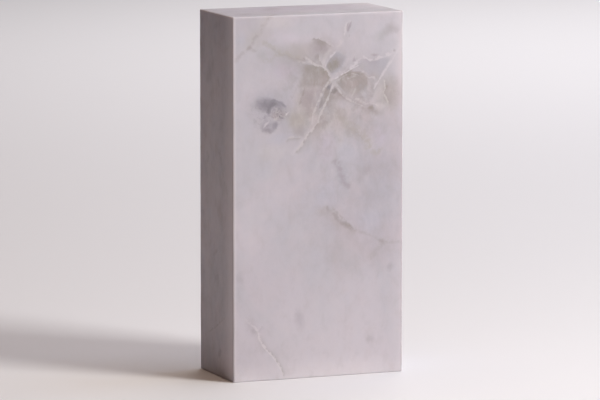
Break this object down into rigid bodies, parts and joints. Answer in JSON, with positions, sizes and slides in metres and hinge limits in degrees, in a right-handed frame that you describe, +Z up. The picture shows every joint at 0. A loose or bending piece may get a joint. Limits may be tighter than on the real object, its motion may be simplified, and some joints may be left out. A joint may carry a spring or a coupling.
{
  "type": "stone brick",
  "caption": "Rectangular brick of honed pale lilac-grey marble with white veins and brown breccia patches, standing on its end face.",
  "frame": {"origin": "middle of the end face that the brick stands on", "axes": "+Z up along the brick's length, +X across its width, -Y towards the broad face that the picture shows"},
  "size_m": [0.1, 0.05, 0.2],
  "materials": {
    "honed_marble": "honed"
  },
  "bodies": {
    "root": {"stone_brick": "honed_marble"}
  },
  "joints": []
}
